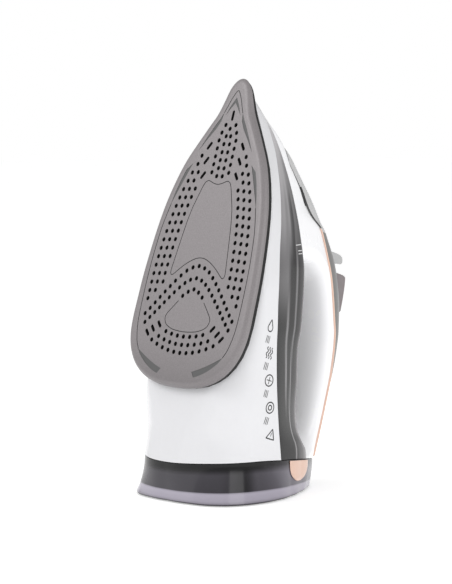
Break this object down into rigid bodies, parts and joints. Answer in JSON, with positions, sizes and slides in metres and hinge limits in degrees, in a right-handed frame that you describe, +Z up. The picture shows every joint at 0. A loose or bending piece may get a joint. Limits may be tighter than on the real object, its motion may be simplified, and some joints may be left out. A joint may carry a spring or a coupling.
{
  "type": "steam iron",
  "caption": "Clothes iron standing on its heel: perforated soleplate, smoked water tank, arched handle with slide lever, pump buttons, nose lid, thermostat dial and cord inlet.",
  "frame": {"origin": "centre of the overall box in X and Y, at the height of the surface the iron stands on", "axes": "+Z up along the standing iron, from the heel to the tip; the ironing face leans back from the -Y side; X is across the iron"},
  "size_m": [0.1204, 0.1746, 0.2963],
  "materials": {
    "sole_coating": "satin",
    "white_plastic": "gloss",
    "smoked_plastic": "clear gloss",
    "dark_plastic": "satin",
    "grey_plastic": "satin",
    "pale_plastic": "translucent gloss",
    "copper_lacquer": "satin",
    "black_plastic": "matte",
    "cast_aluminium": "cast",
    "steel": "brushed",
    "brass": "turned",
    "rubber": "matte",
    "amber_lens": "clear gloss",
    "silicone": "matte"
  },
  "bodies": {
    "body": {"soleplate": "sole_coating", "steam_chamber": "cast_aluminium", "chamber_cover": "steel", "heating_element": "steel", "thermostat": "steel", "thermal_fuse": "brass", "insulating_skirt": "black_plastic", "lower_housing": "white_plastic", "water_tank": "smoked_plastic", "upper_housing": "white_plastic", "handle_cover": "grey_plastic", "lid_hinge_pin": "steel", "filler_funnel": "pale_plastic", "spray_nozzle": "black_plastic", "valve_seat": "brass", "valve_spring": "steel", "spray_pump": "dark_plastic", "spray_spring": "steel", "burst_pump": "dark_plastic", "burst_spring": "steel", "spray_hose": "silicone", "pickup_hose": "silicone", "pilot_lens": "amber_lens", "pilot_lamp": "steel", "cord_clamp": "steel", "terminal_block": "white_plastic", "heel_base": "smoked_plastic", "heel_liner": "dark_plastic", "heel_pad_1": "rubber", "heel_pad_2": "rubber", "heel_pad_3": "rubber", "heel_pad_4": "rubber", "heel_screw_1": "steel", "heel_screw_2": "steel", "copper_trim_right": "copper_lacquer", "copper_trim_left": "copper_lacquer", "heel_tongue_right": "copper_lacquer", "heel_tongue_left": "copper_lacquer"},
    "lid": {"nose_lid": "pale_plastic"},
    "lever": {"steam_lever": "pale_plastic"},
    "valve": {"valve_rod": "steel"},
    "spray": {"spray_button": "grey_plastic", "spray_piston": "steel"},
    "burst": {"burst_button": "grey_plastic", "burst_piston": "steel"},
    "dial": {"temperature_dial": "dark_plastic", "dial_shaft": "steel"},
    "cord_inlet": {"cord_ball": "dark_plastic"}
  },
  "joints": [
    {"name": "lid_hinge", "type": "hinge", "parent": "body", "child": "lid", "pos_m": [0, 0.01759, 0.24815], "axis": [1, 0, 0], "range_deg": [0, 50]},
    {"name": "lever_slide", "type": "slide", "parent": "body", "child": "lever", "axis": [0, -0.453, 0.8915], "range_m": [-0.004, 0.004]},
    {"name": "valve_lift", "type": "slide", "parent": "body", "child": "valve", "axis": [0, 0.9553, -0.2957], "range_m": [-0.0008, 0.0008]},
    {"name": "spray_press", "type": "slide", "parent": "body", "child": "spray", "axis": [0, -0.9553, 0.2957], "range_m": [0, 0.003], "stiffness_N_per_m": 400, "springref_m": -0.003},
    {"name": "burst_press", "type": "slide", "parent": "body", "child": "burst", "axis": [0, -0.9553, 0.2957], "range_m": [0, 0.003], "stiffness_N_per_m": 400, "springref_m": -0.003},
    {"name": "dial_turn", "type": "hinge", "parent": "body", "child": "dial", "pos_m": [0, 0.01406, 0.11672], "axis": [0, 0.9553, -0.2957], "range_deg": [0, 270]},
    {"name": "cord_swivel", "type": "hinge", "parent": "body", "child": "cord_inlet", "pos_m": [0, 0.0447, 0.03814], "axis": [1, 0, 0], "range_deg": [-15, 15]}
  ],
  "couplings": [
    {"joint": "valve_lift", "follows": "lever_slide", "ratio": 0.2}
  ]
}
